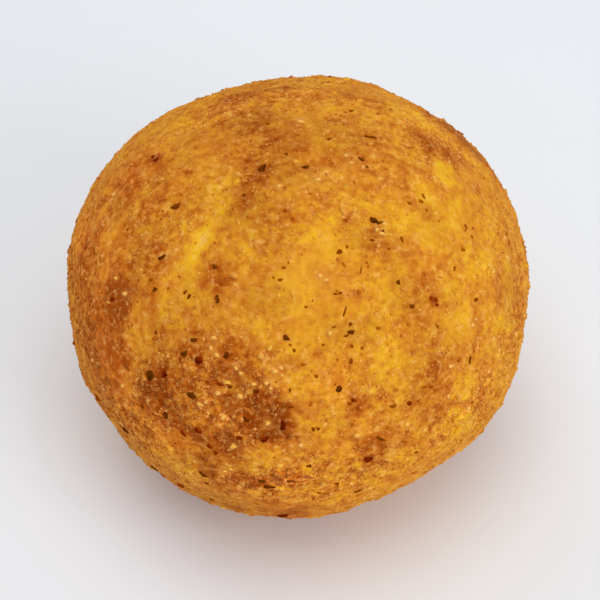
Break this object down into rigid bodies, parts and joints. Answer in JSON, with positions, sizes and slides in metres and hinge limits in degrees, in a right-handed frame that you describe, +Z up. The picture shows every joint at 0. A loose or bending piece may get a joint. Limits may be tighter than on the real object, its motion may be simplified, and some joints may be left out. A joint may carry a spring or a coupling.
{
  "type": "arancino",
  "caption": "Fried rice ball: a squat, slightly boxy round in a rough golden breadcrumb crust flecked with herbs, resting on a small flat spot.",
  "frame": {"origin": "middle of the underside: the centre of the bounding box's bottom face", "axes": "+Z up, the ball's shortest way; the side that the picture shows faces -Y and up; +X is to its right"},
  "size_m": [0.086, 0.0844, 0.0764],
  "materials": {
    "crust": "rough golden fried breadcrumb with toasted brown patches and dark green herb flecks"
  },
  "bodies": {
    "root": {"arancino": "crust"}
  },
  "joints": []
}
